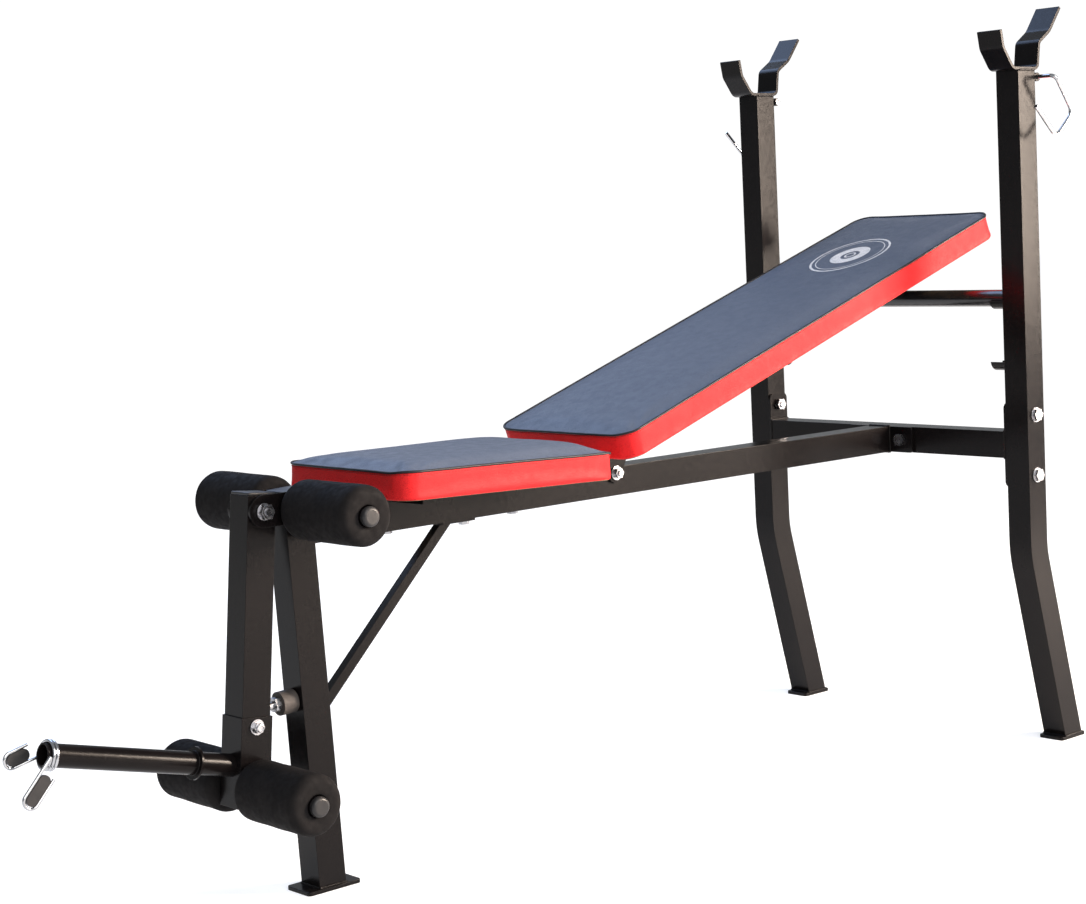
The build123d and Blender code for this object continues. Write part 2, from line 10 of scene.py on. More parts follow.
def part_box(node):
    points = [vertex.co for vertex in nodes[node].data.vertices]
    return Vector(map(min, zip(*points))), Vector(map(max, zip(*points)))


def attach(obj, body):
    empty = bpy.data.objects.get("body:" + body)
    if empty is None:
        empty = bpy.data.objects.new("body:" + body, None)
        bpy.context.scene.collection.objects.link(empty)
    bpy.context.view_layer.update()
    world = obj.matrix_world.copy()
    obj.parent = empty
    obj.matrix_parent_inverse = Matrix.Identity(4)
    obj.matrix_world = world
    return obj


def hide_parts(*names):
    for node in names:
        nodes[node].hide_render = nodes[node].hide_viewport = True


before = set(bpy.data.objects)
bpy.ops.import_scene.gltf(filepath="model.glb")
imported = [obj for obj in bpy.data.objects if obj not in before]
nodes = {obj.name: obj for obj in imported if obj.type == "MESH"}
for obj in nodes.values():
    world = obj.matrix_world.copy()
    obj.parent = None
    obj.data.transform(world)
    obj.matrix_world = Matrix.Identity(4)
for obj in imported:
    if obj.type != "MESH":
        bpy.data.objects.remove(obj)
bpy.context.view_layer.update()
scene = bpy.context.scene
MM = 0.001


# ---------------------------------------------------------------- camera

AZIMUTH = math.radians(47.855)
PITCH = math.radians(5.123)
ROLL = math.radians(2.604)
CAMERA_PLACE = (2.2536, -1.5424, 0.8166)
SENSOR_MM = 36
LENS_MM = 72.83
SHIFT_X = -0.0488
SHIFT_Y = -0.0303
FARTHEST = 60

ahead = Vector(
    (
        -math.sin(AZIMUTH) * math.cos(PITCH),
        math.cos(AZIMUTH) * math.cos(PITCH),
        -math.sin(PITCH),
    )
)
level_right = Vector((math.cos(AZIMUTH), math.sin(AZIMUTH), 0))
level_down = ahead.cross(level_right)
right = level_right * math.cos(ROLL) + level_down * math.sin(ROLL)
down = level_down * math.cos(ROLL) - level_right * math.sin(ROLL)
camera = bpy.data.objects.new("camera", bpy.data.cameras.new("camera"))
scene.collection.objects.link(camera)
camera.matrix_world = Matrix.Translation(CAMERA_PLACE) @ Matrix(
    (
        (right.x, -down.x, -ahead.x, 0),
        (right.y, -down.y, -ahead.y, 0),
        (right.z, -down.z, -ahead.z, 0),
        (0, 0, 0, 1),
    )
)
camera.data.sensor_width = SENSOR_MM
camera.data.lens = LENS_MM
camera.data.shift_x = SHIFT_X
camera.data.shift_y = SHIFT_Y
camera.data.clip_end = FARTHEST
scene.camera = camera


# ---------------------------------------------------------------- materials


ROUNDING_SAMPLES = 4
PAINT_ROUNDING = 0.0011
LEATHER_CELLS = 620


class Look:
    """One procedural material, a Principled shader fed by noise laid in the object's own space."""

    def __init__(self, name, **sockets):
        self.material = bpy.data.materials.new(name)
        self.material.use_nodes = True
        self.tree = self.material.node_tree
        self.tree.nodes.clear()
        self.shader = self.tree.nodes.new("ShaderNodeBsdfPrincipled")
        output = self.tree.nodes.new("ShaderNodeOutputMaterial")
        self.tree.links.new(self.shader.outputs["BSDF"], output.inputs["Surface"])
        self.where = self.tree.nodes.new("ShaderNodeTexCoord").outputs["Object"]
        for socket, value in sockets.items():
            self.shader.inputs[socket.replace("_", " ")].default_value = value

    def stretched(self, x, y, z):
        """The same space with its axes scaled, for grain that runs one way."""
        mapping = self.tree.nodes.new("ShaderNodeMapping")
        mapping.inputs["Scale"].default_value = (x, y, z)
        self.tree.links.new(self.where, mapping.inputs["Vector"])
        return mapping.outputs["Vector"]

    def clouds(self, scale, detail=3, rough=0.55, where=None):
        """Soft noise; a larger scale gives smaller clouds."""
        node = self.tree.nodes.new("ShaderNodeTexNoise")
        node.inputs["Scale"].default_value = scale
        node.inputs["Detail"].default_value = detail
        node.inputs["Roughness"].default_value = rough
        self.tree.links.new(where or self.where, node.inputs["Vector"])
        return node.outputs["Fac"]

    def cells(self, scale, feature="F1"):
        """Cell noise: the distance to a cell's centre, or to its edge."""
        node = self.tree.nodes.new("ShaderNodeTexVoronoi")
        node.feature = feature
        node.inputs["Scale"].default_value = scale
        self.tree.links.new(self.where, node.inputs["Vector"])
        return node.outputs["Distance"]

    def spread(self, value, low, high, to_low, to_high):
        """Value from low..high taken to to_low..to_high, smoothly."""
        node = self.tree.nodes.new("ShaderNodeMapRange")
        node.interpolation_type = "SMOOTHSTEP"
        numbers = {"From Min": low, "From Max": high, "To Min": to_low, "To Max": to_high}
        for socket, number in numbers.items():
            node.inputs[socket].default_value = number
        self.tree.links.new(value, node.inputs["Value"])
        return node.outputs["Result"]

    def shades(self, value, *stops):
        """A colour ramp of (place, (r, g, b)) stops."""
        node = self.tree.nodes.new("ShaderNodeValToRGB")
        ramp = node.color_ramp
        while len(ramp.elements) < len(stops):
            ramp.elements.new(0.5)
        for element, (place, colour) in zip(ramp.elements, stops):
            element.position = place
            element.color = (*colour, 1)
        self.tree.links.new(value, node.inputs["Fac"])
        return node.outputs["Color"]

    def layer(self, value, low, high):
        """Mixes two colours or two shade outputs by value."""
        node = self.tree.nodes.new("ShaderNodeMix")
        node.data_type = "RGBA"
        self.tree.links.new(value, node.inputs["Factor"])
        for socket, colour in ((node.inputs[6], low), (node.inputs[7], high)):
            if isinstance(colour, tuple):
                socket.default_value = (*colour, 1)
            else:
                self.tree.links.new(colour, socket)
        return node.outputs[2]

    def colour(self, output):
        self.tree.links.new(output, self.shader.inputs["Base Color"])

    def rough(self, output):
        self.tree.links.new(output, self.shader.inputs["Roughness"])

    def relief(self, *layers, edge=0.0):
        """Bump layers of (height, strength, distance in metres), over edges rounded by edge metres."""
        normal = None
        if edge:
            rounded = self.tree.nodes.new("ShaderNodeBevel")
            rounded.samples = ROUNDING_SAMPLES
            rounded.inputs["Radius"].default_value = edge
            normal = rounded.outputs["Normal"]
        for height, strength, distance in layers:
            bump = self.tree.nodes.new("ShaderNodeBump")
            bump.inputs["Strength"].default_value = strength
            bump.inputs["Distance"].default_value = distance
            self.tree.links.new(height, bump.inputs["Height"])
            if normal is not None:
                self.tree.links.new(normal, bump.inputs["Normal"])
            normal = bump.outputs["Normal"]
        self.tree.links.new(normal, self.shader.inputs["Normal"])


def powder_coat(name, dark, pale, low_rough, high_rough, level):
    """Baked powder paint: fine orange peel, faint handling haze and a little settled dust."""
    look = Look(name, Specular_IOR_Level=level)
    haze = look.shades(look.clouds(9, 4, 0.6), (0.3, dark), (0.75, pale))
    dust = look.spread(look.clouds(310, 5, 0.7), 0.62, 0.8, 0, 0.35)
    look.colour(look.layer(dust, haze, tuple(2.6 * c for c in pale)))
    look.rough(look.spread(look.clouds(150, 3, 0.5), 0.3, 0.75, low_rough, high_rough))
    orange_peel = (look.clouds(620, 2), 0.25, 0.00012)
    grit = (look.clouds(2600, 1), 0.15, 0.00003)
    look.relief(orange_peel, grit, edge=PAINT_ROUNDING)
    return look.material


def plated(name, pale, dull, low_rough, high_rough):
    """Plated steel with faint tarnish and fine tool marks."""
    look = Look(name, Metallic=1.0)
    look.colour(look.shades(look.clouds(55, 4, 0.6), (0.3, dull), (0.62, pale)))
    look.rough(look.spread(look.clouds(140, 4, 0.7), 0.3, 0.7, low_rough, high_rough))
    tool_marks = (look.clouds(420, 3), 0.12, 0.00006)
    grain = (look.clouds(3200, 2), 0.1, 0.00002)
    look.relief(tool_marks, grain)
    return look.material


def vinyl(name, shadow, body, sheen_tone, low_rough, high_rough, level=0.22):
    """Upholstery vinyl: pebbled leather grain with fine creases painted darker as shade, and slow colour drift.
    """
    look = Look(name, Specular_IOR_Level=level)
    # Painted shade: the cell edges are the grain creases. They are bumped down and coloured with the shadow
    # colour.
    crease = look.spread(look.cells(LEATHER_CELLS, "DISTANCE_TO_EDGE"), 0.0, 0.16, 0, 1)
    drift = look.shades(look.clouds(7, 4, 0.6), (0.28, body), (0.75, sheen_tone))
    look.colour(look.layer(crease, shadow, drift))
    look.rough(look.spread(look.clouds(60, 4, 0.65), 0.3, 0.72, low_rough, high_rough))
    waves = (look.clouds(70, 3), 0.16, 0.0008)
    pores = (look.clouds(1900, 2), 0.18, 0.00005)
    look.relief(waves, (crease, 0.3, 0.00016), pores)
    return look.material


def moulded(name, dark, pale, low_rough, high_rough, level=0.4):
    """Injection-moulded plastic with a light spark-eroded texture and scuffs."""
    look = Look(name, Specular_IOR_Level=level)
    scuff = look.spread(look.clouds(240, 5, 0.7), 0.62, 0.8, 0, 0.4)
    tone = look.shades(look.clouds(45, 4), (0.3, dark), (0.75, pale))
    look.colour(look.layer(scuff, tone, tuple(1.8 * c for c in pale)))
    look.rough(look.spread(look.clouds(90, 3), 0.3, 0.7, low_rough, high_rough))
    look.relief((look.clouds(1500, 2), 0.2, 0.00005), (look.clouds(120, 3), 0.1, 0.0002))
    return look.material


def foam_skin():
    """Closed-cell foam: matt black skin with pores and a dented surface, painted darker in the pores and in the
    low places as shade.
    """
    look = Look("foam", Specular_IOR_Level=0.08)
    # Painted shade: the pore centres, which the bump sinks into pits, take the darkest colour.
    pores = look.spread(look.cells(900), 0.02, 0.3, 0, 1)
    dents_and_shade = look.clouds(46, 4, 0.6)
    # Painted shade: the tone follows the dent height. It is darker in the low places and paler on the raised
    # ones.
    tone = look.shades(dents_and_shade, (0.3, (0.0056, 0.0053, 0.0058)), (0.78, (0.0105, 0.0094, 0.0096)))
    look.colour(look.layer(pores, (0.0032, 0.0030, 0.0032), tone))
    look.rough(look.spread(look.clouds(130, 3), 0.3, 0.7, 0.72, 0.92))
    look.relief((dents_and_shade, 0.2, 0.0012), (pores, 0.35, 0.0002), (look.clouds(1700, 2), 0.25, 0.00008))
    return look.material


def rubber():
    """Grey-black rubber bumper, matt and a little dusty."""
    look = Look("bumper", Specular_IOR_Level=0.3)
    look.colour(look.shades(look.clouds(70, 4), (0.3, (0.030, 0.026, 0.024)), (0.75, (0.060, 0.052, 0.048))))
    look.rough(look.spread(look.clouds(160, 3), 0.3, 0.7, 0.55, 0.8))
    look.relief((look.clouds(480, 3), 0.25, 0.00012), (look.clouds(2400, 1), 0.15, 0.00004))
    return look.material


def plywood():
    """Plywood stained dark, grain along the pad."""
    look = Look("board", Specular_IOR_Level=0.25)
    grain = look.clouds(60, 6, 0.7, look.stretched(6, 0.5, 1))
    late_wood = (0.3, (0.055, 0.036, 0.022))
    middle_wood = (0.55, (0.12, 0.083, 0.052))
    early_wood = (0.75, (0.165, 0.118, 0.075))
    look.colour(look.shades(grain, late_wood, middle_wood, early_wood))
    look.rough(look.spread(grain, 0.3, 0.7, 0.62, 0.8))
    look.relief((grain, 0.25, 0.0003), (look.clouds(900, 2), 0.15, 0.00008))
    return look.material


def badge_print():
    """Pale screen print on the vinyl, cracked a little where it flexes."""
    look = Look("badge_print", Specular_IOR_Level=0.35)
    crack = look.spread(look.cells(LEATHER_CELLS, "DISTANCE_TO_EDGE"), 0.0, 0.07, 0, 1)
    tone = look.shades(look.clouds(80, 3), (0.3, (0.52, 0.53, 0.55)), (0.7, (0.66, 0.66, 0.67)))
    look.colour(look.layer(crack, (0.25, 0.27, 0.31), tone))
    look.rough(look.spread(look.clouds(200, 3), 0.3, 0.7, 0.4, 0.6))
    look.relief((crack, 0.25, 0.0001),)
    return look.material


PAINT = ((0.0032, 0.0026, 0.0028), (0.0052, 0.0042, 0.0043))
BAR = ((0.006, 0.006, 0.0065), (0.011, 0.011, 0.012))
ZINC = ((0.46, 0.46, 0.48), (0.26, 0.26, 0.28))
CHROME = ((0.52, 0.53, 0.55), (0.38, 0.39, 0.41))
# The first colour of SLATE, RED and PIPING is painted shade in the vinyl's grain creases. The other two are the
# vinyl's own colour, drifting at random.
SLATE = ((0.048, 0.060, 0.086), (0.076, 0.096, 0.140), (0.090, 0.110, 0.156))
RED = ((0.34, 0.010, 0.012), (0.56, 0.017, 0.020), (0.64, 0.022, 0.024))
PIPING = ((0.004, 0.004, 0.005), (0.007, 0.007, 0.010), (0.011, 0.012, 0.016))
CAP = ((0.012, 0.012, 0.013), (0.022, 0.021, 0.022))
NYLON = ((0.10, 0.095, 0.09), (0.16, 0.155, 0.15))
UNDERSIDE = ((0.010, 0.010, 0.010), (0.020, 0.020, 0.021))
THREAD = ((0.20, 0.008, 0.010), (0.34, 0.014, 0.016))

looks = {
    "frame_paint": powder_coat("frame_paint", *PAINT, 0.20, 0.26, 0.115),
    "bar_finish": powder_coat("bar_finish", *BAR, 0.16, 0.26, 0.5),
    "zinc": plated("zinc", *ZINC, 0.20, 0.34),
    "hook_chrome": plated("hook_chrome", *CHROME, 0.10, 0.20),
    "foam": foam_skin(),
    "upholstery": vinyl("upholstery", *SLATE, 0.44, 0.58),
    "board": plywood(),
    "cap": moulded("cap", *CAP, 0.34, 0.48, 0.3),
    "bumper": rubber(),
    "bush": moulded("bush", *NYLON, 0.35, 0.5),
}
red_vinyl = vinyl("red_vinyl", *RED, 0.42, 0.56, 0.06)
piping_vinyl = vinyl("piping_vinyl", *PIPING, 0.36, 0.5)
dust_cover = moulded("dust_cover", *UNDERSIDE, 0.7, 0.88, 0.2)
red_thread = moulded("red_thread", *THREAD, 0.55, 0.7, 0.3)
print_ink = badge_print()

for node in nodes.values():
    for place in node.material_slots:
        place.material = looks[place.material.name.split(".")[0]]


# ---------------------------------------------------------------- mesh helpers


def made(name, mesh, body, slot, *materials):
    """A finished piece: its mesh, the body it rides on, a slot that is not used, and its looks."""
    piece = bpy.data.objects.new(name, mesh)
    scene.collection.objects.link(piece)
    for material in materials:
        mesh.materials.append(material)
    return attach(piece, body)


def from_points(name, points, faces, smooth=True):
    mesh = bpy.data.meshes.new(name)
    mesh.from_pydata([tuple(p) for p in points], [], faces)
    mesh.validate()
    if smooth:
        mesh.polygons.foreach_set("use_smooth", [True] * len(mesh.polygons))
    mesh.update()
    return mesh


def tube_faces(rings, sides, closed):
    """Four-sided faces between rings of points laid one after another; closed joins the last to the first."""
    faces = []
    for i in range(rings if closed else rings - 1):
        j = (i + 1) % rings
        for k in range(sides):
            n = (k + 1) % sides
            faces.append((i * sides + k, i * sides + n, j * sides + n, j * sides + k))
    return faces


def swept(path, radii, sides, closed):
    """Points and faces of a tube whose centre follows path; radii is one number or one for each point."""
    count = len(path)
    if not isinstance(radii, (list, tuple)):
        radii = [radii] * count
    points = []
    side = None
    for i, centre in enumerate(path):
        before = path[i - 1] if closed or i else path[0]
        after = path[(i + 1) % count] if closed or i < count - 1 else path[-1]
        along = (after - before).normalized()
        if side is None:
            side = along.orthogonal().normalized()
        side = (side - along * side.dot(along)).normalized()
        other = along.cross(side)
        for k in range(sides):
            turn = 2 * math.pi * k / sides
            points.append(centre + (side * math.cos(turn) + other * math.sin(turn)) * radii[i])
    faces = tube_faces(count, sides, closed)
    if not closed:
        faces.append(tuple(range(sides))[::-1])
        faces.append(tuple((count - 1) * sides + k for k in range(sides)))
    return points, faces


def turned(profile, base, axis, sides=40):
    """Points and faces of a piece turned about axis from a closed loop of (distance from base, radius)."""
    side = axis.orthogonal().normalized()
    other = axis.cross(side).normalized()
    points = []
    for along, radius in profile:
        for k in range(sides):
            turn = 2 * math.pi * k / sides
            points.append(base + axis * along + (side * math.cos(turn) + other * math.sin(turn)) * radius)
    return points, tube_faces(len(profile), sides, True)


def gather(parts):
    """Joins several (points, faces) into one."""
    points = []
    faces = []
    for some_points, some_faces in parts:
        base = len(points)
        points.extend(some_points)
        faces.extend(tuple(base + i for i in face) for face in some_faces)
    return points, faces


def at(x, y, z):
    """A place given in millimetres."""
    return Vector((x, y, z)) * MM


def subdivided(piece, name):
    smooth = piece.modifiers.new(name, "SUBSURF")
    smooth.levels = 1
    smooth.render_levels = 1


# ---------------------------------------------------------------- upholstered pads


class Pad:
    """A boxed cushion: top panel, side band, rolled lower edge and the pocket its board sits in."""

    CELL = 0.0062
    CORNER_CELLS = 6
    CORNER = 0.030
    BOARD = 0.012
    BOARD_INSET = 0.005
    BOARD_GAP = 0.0003
    SEAM_BELOW_TOP = 0.0035
    TOP_INSET = 0.0022
    SIDE_INSET = 0.0018
    FOLD_HEIGHT = 0.0045
    STAPLED_FOLD = ((0.0026, 0.0015), (0.0042, 0.0004))
    SIDE_RINGS = 6
    SIDE_CAP = 0.0022
    PRESSURE = 4.0
    CLOTH_FRAMES = 20
    SEAM_CREASE = 0.75
    FILL = 0.9
    PIPING_RADIUS = 0.0017
    STITCH_PITCH = 0.0048
    STITCH_LENGTH = 0.0034
    STITCH_RADIUS = 0.00042
    STITCH_DROP = 0.62

    def __init__(self, name, origin, tilt, length, front, rear, thick, square_rear):
        self.name = name
        self.origin = origin
        self.along = Vector((0, math.cos(tilt), math.sin(tilt)))
        self.up = Vector((0, -math.sin(tilt), math.cos(tilt)))
        self.length = length
        self.front = front
        self.rear = rear
        self.thick = thick
        self.square_rear = square_rear
        self.columns = self.stations(self.rear)
        self.rows = self.stations(self.length)
        self.points = []
        self.faces = []
        self.looks = []

    def stations(self, span):
        """Grid lines along one side of the pad, closer together within the corners."""
        inner = span - 2 * self.CORNER
        steps = max(4, round(inner / self.CELL))
        edge = [self.CORNER * i / self.CORNER_CELLS for i in range(self.CORNER_CELLS)]
        middle = [self.CORNER + inner * i / steps for i in range(steps + 1)]
        return edge + middle + [span - e for e in reversed(edge)]

    def plan(self, column, row, inset):
        """Place in the pad's plan (across, along) of one grid point, corners rounded, moved in by inset."""
        half = self.rear / 2
        x = self.columns[column] - half
        s = self.rows[row]
        u = abs(x) - (half - self.CORNER)
        v = self.CORNER - s if s < self.length / 2 else s - (self.length - self.CORNER)
        if u > 0 and v > 0:
            reach = max(u, v)
            turn = math.pi / 4 * (v / u) if u >= v else math.pi / 2 - math.pi / 4 * (u / v)
            square = 0.0 if s < self.length / 2 else self.square_rear
            u = reach * math.cos(turn) * (1 - square) + u * square
            v = reach * math.sin(turn) * (1 - square) + v * square
            x = math.copysign(half - self.CORNER + u, x)
            s = self.CORNER - v if s < self.length / 2 else self.length - self.CORNER + v
        shrink_x = (half - inset) / half
        shrink_s = (self.length / 2 - inset) / (self.length / 2)
        x *= shrink_x
        s = self.length / 2 + (s - self.length / 2) * shrink_s
        width = self.front + (self.rear - self.front) * s / self.length
        return x * width / self.rear, s

    def place(self, x, s, height):
        """World place of a point x across the pad, s along it and height above its underside."""
        return self.origin + Vector((x, 0, 0)) + self.along * s + self.up * height

    def rim(self):
        """Grid indices round the outside, in order."""
        columns = len(self.columns) - 1
        rows = len(self.rows) - 1
        return (
            [(c, 0) for c in range(columns)]
            + [(columns, r) for r in range(rows)]
            + [(c, rows) for c in range(columns, 0, -1)]
            + [(0, r) for r in range(rows, 0, -1)]
        )

    def panel(self, inset, height, crown, look_index, flip):
        """A grid panel; returns the vertex index of each grid point."""
        index = {}
        half = self.rear / 2
        for c in range(len(self.columns)):
            for r in range(len(self.rows)):
                x, s = self.plan(c, r, inset)
                across = min(1, abs(x) / half)
                lengthwise = abs(2 * s / self.length - 1)
                swell = crown[0] + (crown[1] - crown[0]) * (s / self.length) ** 0.8
                rise = swell * (1 - across**4.5) * (1 - lengthwise**9)
                index[c, r] = len(self.points)
                self.points.append(self.place(x, s, height + rise))
        for c in range(len(self.columns) - 1):
            for r in range(len(self.rows) - 1):
                face = (index[c, r], index[c + 1, r], index[c + 1, r + 1], index[c, r + 1])
                self.faces.append(face[::-1] if flip else face)
                self.looks.append(look_index)
        return index

    def ring(self, inset, height):
        """A loop of points round the pad; returns their vertex indices."""
        found = []
        for c, r in self.rim():
            x, s = self.plan(c, r, inset)
            found.append(len(self.points))
            self.points.append(self.place(x, s, height))
        return found

    def band(self, upper, lower, look_index):
        """Faces between two loops."""
        count = len(upper)
        for i in range(count):
            j = (i + 1) % count
            self.faces.append((upper[i], lower[i], lower[j], upper[j]))
            self.looks.append(look_index)

    def build(self, crown, cap, body, replaced):
        """Makes the cover. Crown is the top panel's rise at its (front, rear), cap the most that cloth adds."""
        seam_height = self.thick - self.SEAM_BELOW_TOP
        top = self.panel(self.TOP_INSET, seam_height, crown, 0, False)
        seam = [top[place] for place in self.rim()]
        rings = [seam]
        for k in range(1, self.SIDE_RINGS + 1):
            height = seam_height + (self.FOLD_HEIGHT - seam_height) * k / self.SIDE_RINGS
            rings.append(self.ring(self.SIDE_INSET, height))
        for inset, height in self.STAPLED_FOLD:
            rings.append(self.ring(inset, height))
        for upper, lower in zip(rings, rings[1:]):
            self.band(upper, lower, 1)
        pocket_inset = self.BOARD_INSET + self.BOARD_GAP
        pocket_edge = self.ring(pocket_inset, 0.0006)
        self.band(rings[-1], pocket_edge, 2)
        roof = self.panel(pocket_inset, self.BOARD + 0.0004, (0, 0), 2, True)
        self.band(pocket_edge, [roof[place] for place in self.rim()], 2)
        mesh = from_points(self.name, self.points, self.faces)
        mesh.polygons.foreach_set("material_index", self.looks)
        held = sorted(set(pocket_edge) | set(roof.values()) | set(rings[-1]) | set(rings[-2]))
        piece = made(self.name, mesh, body, "upholstery", looks["upholstery"], red_vinyl, dust_cover)
        self.inflate(piece, held, cap, set(top.values()) - set(seam))
        seam_edges = {frozenset((seam[i], seam[(i + 1) % len(seam)])) for i in range(len(seam))}
        crease = mesh.attributes.new("crease_edge", "FLOAT", "EDGE")
        sharpness = [self.SEAM_CREASE if frozenset(edge.vertices) in seam_edges else 0.0 for edge in mesh.edges]
        crease.data.foreach_set("value", sharpness)
        subdivided(piece, "cover")
        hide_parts(replaced)
        self.piece = piece
        self.seam = [mesh.vertices[i].co.copy() for i in seam]
        self.side_top = [mesh.vertices[i].co.copy() for i in rings[1]]
        self.body = body
        self.piping()
        self.stitches()

    def inflate(self, piece, held, cap, crowned):
        """Fills the cover with cloth pressure while its stapled edge is held, then limits its swelling."""
        mesh = piece.data
        start = [v.co.copy() for v in mesh.vertices]
        piece.vertex_groups.new(name="stapled").add(held, 1.0, "REPLACE")
        cloth = piece.modifiers.new("inflate", "CLOTH")
        settings = cloth.settings
        settings.quality = 5
        settings.mass = 0.3
        settings.tension_stiffness = 18
        settings.compression_stiffness = 18
        settings.shear_stiffness = 6
        settings.bending_stiffness = 0.6
        settings.vertex_group_mass = "stapled"
        settings.use_pressure = True
        settings.uniform_pressure_force = self.PRESSURE
        settings.effector_weights.gravity = 0
        cloth.collision_settings.use_collision = False
        cloth.point_cache.frame_start = 1
        cloth.point_cache.frame_end = self.CLOTH_FRAMES
        for step in range(1, self.CLOTH_FRAMES + 1):
            scene.frame_set(step)
        swollen = piece.evaluated_get(bpy.context.evaluated_depsgraph_get()).data
        ends = [v.co.copy() for v in swollen.vertices]
        piece.modifiers.remove(cloth)
        scene.frame_set(1)
        for vertex, first, last in zip(mesh.vertices, start, ends):
            move = last - first
            limit = cap if vertex.index in crowned else self.SIDE_CAP
            if move.length > 1e-7:
                move *= limit * math.tanh(move.length / limit) / move.length
            vertex.co = first + move
        mesh.update()

    def piping(self):
        """Cord sewn into the seam between the top panel and the side band."""
        centre = self.place(0, self.length / 2, self.thick)
        path = [p + (p - centre).normalized() * 0.0004 for p in self.seam]
        points, faces = swept(path, self.PIPING_RADIUS, 10, True)
        mesh = from_points(self.name + "_piping", points, faces)
        made(self.name + "_piping", mesh, self.body, "upholstery", piping_vinyl)

    def stitches(self):
        """A row of thread under the piping."""
        line = [a.lerp(b, self.STITCH_DROP) for a, b in zip(self.seam, self.side_top)]
        line.append(line[0])
        travelled = 0.0
        due = self.STITCH_PITCH
        parts = []
        centre = self.place(0, self.length / 2, self.thick / 2)
        shape = ((-0.5, -0.4, 0.5), (-0.36, 0.35, 0.95), (0, 0.6, 1), (0.36, 0.35, 0.95), (0.5, -0.4, 0.5))
        for a, b in zip(line, line[1:]):
            step = (b - a).length
            while due <= travelled + step:
                middle = a.lerp(b, (due - travelled) / step)
                way = (b - a).normalized()
                out = way.cross(self.up).normalized()
                if out.dot(middle - centre) < 0:
                    out = -out
                path = [
                    middle + way * self.STITCH_LENGTH * end + out * self.STITCH_RADIUS * lift
                    for end, lift, _ in shape
                ]
                parts.append(swept(path, [self.STITCH_RADIUS * width for _, _, width in shape], 6, False))
                due += self.STITCH_PITCH
            travelled += step
        points, faces = gather(parts)
        mesh = from_points(self.name + "_stitches", points, faces)
        made(self.name + "_stitches", mesh, self.body, "upholstery", red_thread)


seat = Pad("seat_pad", at(0, 57, 488), math.radians(-1.7), 0.346, 0.264, 0.276, 0.0385, 0.8)
seat.build((0.0055, 0.0145), 0.004, "frame", "seat_cushion")

back = Pad("back_pad", at(0, 435.9, 497.1), math.radians(18.75), 0.850, 0.276, 0.276, 0.040, 0.0)
back.build((0.003, 0.003), 0.003, "backrest", "back_cushion")


# ---------------------------------------------------------------- round badge on the backrest


BADGE_MIDDLE = 0.6546
BADGE_HALF_ACROSS = 0.061
BADGE_HALF_ALONG = 0.070
BADGE_BANDS = ((1.0, 0.945), (0.86, 0.835), (0.5, 0.24), (0.15, 0.10))
BADGE_STEPS = 120
INK_LIFT = 0.00022


def badge(pad):
    """Plain oval lines one inside another, like the rim and hub of a weight plate, laid on the cover."""
    piece = pad.piece.evaluated_get(bpy.context.evaluated_depsgraph_get())
    tree = BVHTree.FromObject(piece, bpy.context.evaluated_depsgraph_get())

    def drape(x, s):
        start = pad.place(x, s, 0.12)
        hit, normal, _, _ = tree.ray_cast(start, -pad.up)
        return hit + normal * INK_LIFT

    def band(outer, inner):
        points = []
        faces = []
        rings = max(2, round((outer - inner) * BADGE_HALF_ACROSS / 0.004) + 1)
        for i in range(BADGE_STEPS):
            turn = 2 * math.pi * i / BADGE_STEPS
            for k in range(rings):
                w = outer + (inner - outer) * k / (rings - 1)
                s = BADGE_MIDDLE + BADGE_HALF_ALONG * w * math.sin(turn)
                points.append(drape(BADGE_HALF_ACROSS * w * math.cos(turn), s))
        for i in range(BADGE_STEPS):
            j = (i + 1) % BADGE_STEPS
            for k in range(rings - 1):
                faces.append((i * rings + k, j * rings + k, j * rings + k + 1, i * rings + k + 1))
        return points, faces

    points, faces = gather([band(outer, inner) for outer, inner in BADGE_BANDS])
    mesh = from_points("back_badge", points, faces)
    made("back_badge", mesh, pad.body, "upholstery", print_ink)


badge(back)


# ---------------------------------------------------------------- foam rollers

FOAM_R = 0.0375
BORE_R = 0.0127
ROUND = 0.011
FOAM_SIDES = 72
SHOULDER_STEPS = 6
FOAM_STEP = 0.007


def foam_sleeve(node):
    """Foam sleeve turned from a profile: bore, dished ends, rounded shoulders, a slightly uneven skin."""
    low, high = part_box(node)
    centre = (low + high) / 2
    length = high.x - low.x
    half = length / 2
    profile = [(-half + 0.004, BORE_R), (-half + 0.0012, BORE_R + 0.0008), (-half + 0.0007, BORE_R + 0.004)]
    profile += [(-half + 0.0002, 0.021), (-half, FOAM_R - ROUND)]
    for k in range(1, SHOULDER_STEPS + 1):
        turn = math.pi / 2 * k / SHOULDER_STEPS
        profile.append((-half + ROUND * (1 - math.cos(turn)), FOAM_R - ROUND + ROUND * math.sin(turn)))
    end_profile = len(profile)
    body_steps = max(6, round((length - 2 * ROUND) / FOAM_STEP))
    for k in range(1, body_steps):
        profile.append((-half + ROUND + (length - 2 * ROUND) * k / body_steps, FOAM_R))
    profile += [(-a, r) for a, r in reversed(profile[:end_profile])]
    points = []
    for a, r in profile:
        for k in range(FOAM_SIDES):
            turn = 2 * math.pi * k / FOAM_SIDES
            spot = Vector((a, r * math.cos(turn), r * math.sin(turn)))
            skin = noise.noise(spot * 38 + centre * 10) * 0.00045 + noise.noise(spot * 130) * 0.00016
            grow = skin if r > BORE_R + 0.003 else 0.0
            points.append(centre + Vector((a, (r + grow) * math.cos(turn), (r + grow) * math.sin(turn))))
    faces = tube_faces(len(profile), FOAM_SIDES, True)
    piece = made(node + "_sleeve", from_points(node + "_sleeve", points, faces), node, "foam", looks["foam"])
    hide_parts(node)
    subdivided(piece, "skin")


for foam in ("upper_foam_left", "upper_foam_right", "lower_foam_left", "lower_foam_right"):
    foam_sleeve(foam)


# ---------------------------------------------------------------- softened edges on the CAD pieces

